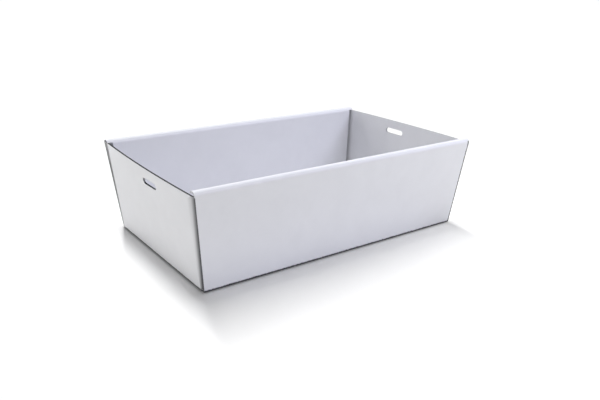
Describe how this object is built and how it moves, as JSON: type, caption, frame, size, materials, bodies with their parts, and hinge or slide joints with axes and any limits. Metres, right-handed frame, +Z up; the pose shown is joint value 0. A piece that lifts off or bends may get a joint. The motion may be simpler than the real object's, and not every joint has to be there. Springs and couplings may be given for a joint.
{
  "type": "cardboard tray box",
  "caption": "Open tray folded from one sheet of white corrugated board, with flared walls, rolled double long walls and a lid slot near the top of each end wall.",
  "frame": {"origin": "on the floor, under the middle of the base", "axes": "+X along the tray's length, +Y across it, +Z up out of its open top"},
  "size_m": [0.2746, 0.1682, 0.08],
  "materials": {
    "board": "matt, white-lined on both faces"
  },
  "bodies": {
    "root": {"tray": "board"}
  },
  "joints": []
}
